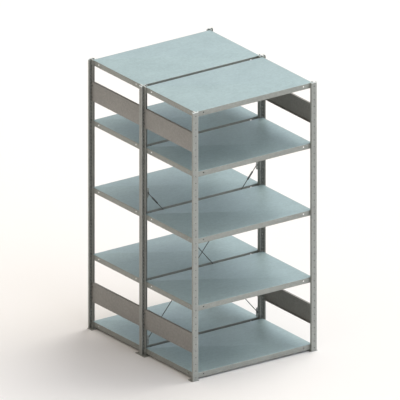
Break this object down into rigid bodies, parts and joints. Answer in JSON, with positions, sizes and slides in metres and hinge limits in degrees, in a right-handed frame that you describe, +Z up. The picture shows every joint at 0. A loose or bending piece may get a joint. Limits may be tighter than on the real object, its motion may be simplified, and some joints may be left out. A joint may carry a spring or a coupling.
{
  "type": "double sided library shelving",
  "caption": "Free-standing galvanised steel shelving used from both sides, with slotted T-uprights, lift-off shelf trays, end panels and a crossed brace with turnbuckles.",
  "frame": {"origin": "on the floor, in the middle of the unit", "axes": "+Z up, +X along the shelves to the right as seen from the front, +Y from the front bay to the rear bay"},
  "size_m": [1.069, 1.2724, 2.008],
  "materials": {
    "galvanised_shelf": "satin",
    "galvanised_upright": "satin",
    "galvanised_panel": "satin",
    "zinc_plated": "satin"
  },
  "bodies": {
    "frame": {"upright_front_left": "galvanised_upright", "upright_front_right": "galvanised_upright", "upright_mid_front_left": "galvanised_upright", "upright_mid_front_right": "galvanised_upright", "upright_mid_rear_left": "galvanised_upright", "upright_mid_rear_right": "galvanised_upright", "upright_rear_left": "galvanised_upright", "upright_rear_right": "galvanised_upright", "foot_front_left": "galvanised_upright", "foot_front_right": "galvanised_upright", "foot_mid_front_left": "galvanised_upright", "foot_mid_front_right": "galvanised_upright", "foot_mid_rear_left": "galvanised_upright", "foot_mid_rear_right": "galvanised_upright", "foot_rear_left": "galvanised_upright", "foot_rear_right": "galvanised_upright", "panel_front_left_lower": "galvanised_panel", "panel_front_left_upper": "galvanised_panel", "panel_front_right_lower": "galvanised_panel", "panel_front_right_upper": "galvanised_panel", "panel_rear_left_lower": "galvanised_panel", "panel_rear_left_upper": "galvanised_panel", "panel_rear_right_lower": "galvanised_panel", "panel_rear_right_upper": "galvanised_panel", "brace_bracket_left_lower": "zinc_plated", "brace_bracket_left_upper": "zinc_plated", "brace_bracket_right_lower": "zinc_plated", "brace_bracket_right_upper": "zinc_plated", "brace_rod_short_left": "zinc_plated", "brace_rod_short_right": "zinc_plated", "brace_rod_long_left": "zinc_plated", "brace_rod_long_right": "zinc_plated", "brace_bolt_left_lower": "zinc_plated", "brace_bolt_left_upper": "zinc_plated", "brace_bolt_right_lower": "zinc_plated", "brace_bolt_right_upper": "zinc_plated", "frame_bolt_left_lower": "zinc_plated", "frame_bolt_left_upper": "zinc_plated", "frame_bolt_right_lower": "zinc_plated", "frame_bolt_right_upper": "zinc_plated"},
    "shelf_front_1": {"shelf_front_1": "galvanised_shelf"},
    "shelf_front_2": {"shelf_front_2": "galvanised_shelf"},
    "shelf_front_3": {"shelf_front_3": "galvanised_shelf"},
    "shelf_front_4": {"shelf_front_4": "galvanised_shelf"},
    "shelf_front_5": {"shelf_front_5": "galvanised_shelf"},
    "shelf_rear_1": {"shelf_rear_1": "galvanised_shelf"},
    "shelf_rear_2": {"shelf_rear_2": "galvanised_shelf"},
    "shelf_rear_3": {"shelf_rear_3": "galvanised_shelf"},
    "shelf_rear_4": {"shelf_rear_4": "galvanised_shelf"},
    "shelf_rear_5": {"shelf_rear_5": "galvanised_shelf"},
    "turnbuckle_left": {"turnbuckle_left": "zinc_plated"},
    "turnbuckle_right": {"turnbuckle_right": "zinc_plated"}
  },
  "joints": [
    {"name": "shelf_front_1_lift", "type": "slide", "parent": "frame", "child": "shelf_front_1", "axis": [0, 0, 1], "range_m": [0, 0.05]},
    {"name": "shelf_front_2_lift", "type": "slide", "parent": "frame", "child": "shelf_front_2", "axis": [0, 0, 1], "range_m": [0, 0.05]},
    {"name": "shelf_front_3_lift", "type": "slide", "parent": "frame", "child": "shelf_front_3", "axis": [0, 0, 1], "range_m": [0, 0.05]},
    {"name": "shelf_front_4_lift", "type": "slide", "parent": "frame", "child": "shelf_front_4", "axis": [0, 0, 1], "range_m": [0, 0.05]},
    {"name": "shelf_front_5_lift", "type": "slide", "parent": "frame", "child": "shelf_front_5", "axis": [0, 0, 1], "range_m": [0, 0.05]},
    {"name": "shelf_rear_1_lift", "type": "slide", "parent": "frame", "child": "shelf_rear_1", "axis": [0, 0, 1], "range_m": [0, 0.05]},
    {"name": "shelf_rear_2_lift", "type": "slide", "parent": "frame", "child": "shelf_rear_2", "axis": [0, 0, 1], "range_m": [0, 0.05]},
    {"name": "shelf_rear_3_lift", "type": "slide", "parent": "frame", "child": "shelf_rear_3", "axis": [0, 0, 1], "range_m": [0, 0.05]},
    {"name": "shelf_rear_4_lift", "type": "slide", "parent": "frame", "child": "shelf_rear_4", "axis": [0, 0, 1], "range_m": [0, 0.05]},
    {"name": "shelf_rear_5_lift", "type": "slide", "parent": "frame", "child": "shelf_rear_5", "axis": [0, 0, 1], "range_m": [0, 0.05]},
    {"name": "turnbuckle_left_turn", "type": "hinge", "parent": "frame", "child": "turnbuckle_left", "pos_m": [-0.40859, -0.0048, 1.13016], "axis": [-0.6473, 0, 0.7622], "continuous": true},
    {"name": "turnbuckle_right_turn", "type": "hinge", "parent": "frame", "child": "turnbuckle_right", "pos_m": [0.40859, 0.0048, 1.13016], "axis": [0.6473, 0, 0.7622], "continuous": true}
  ]
}
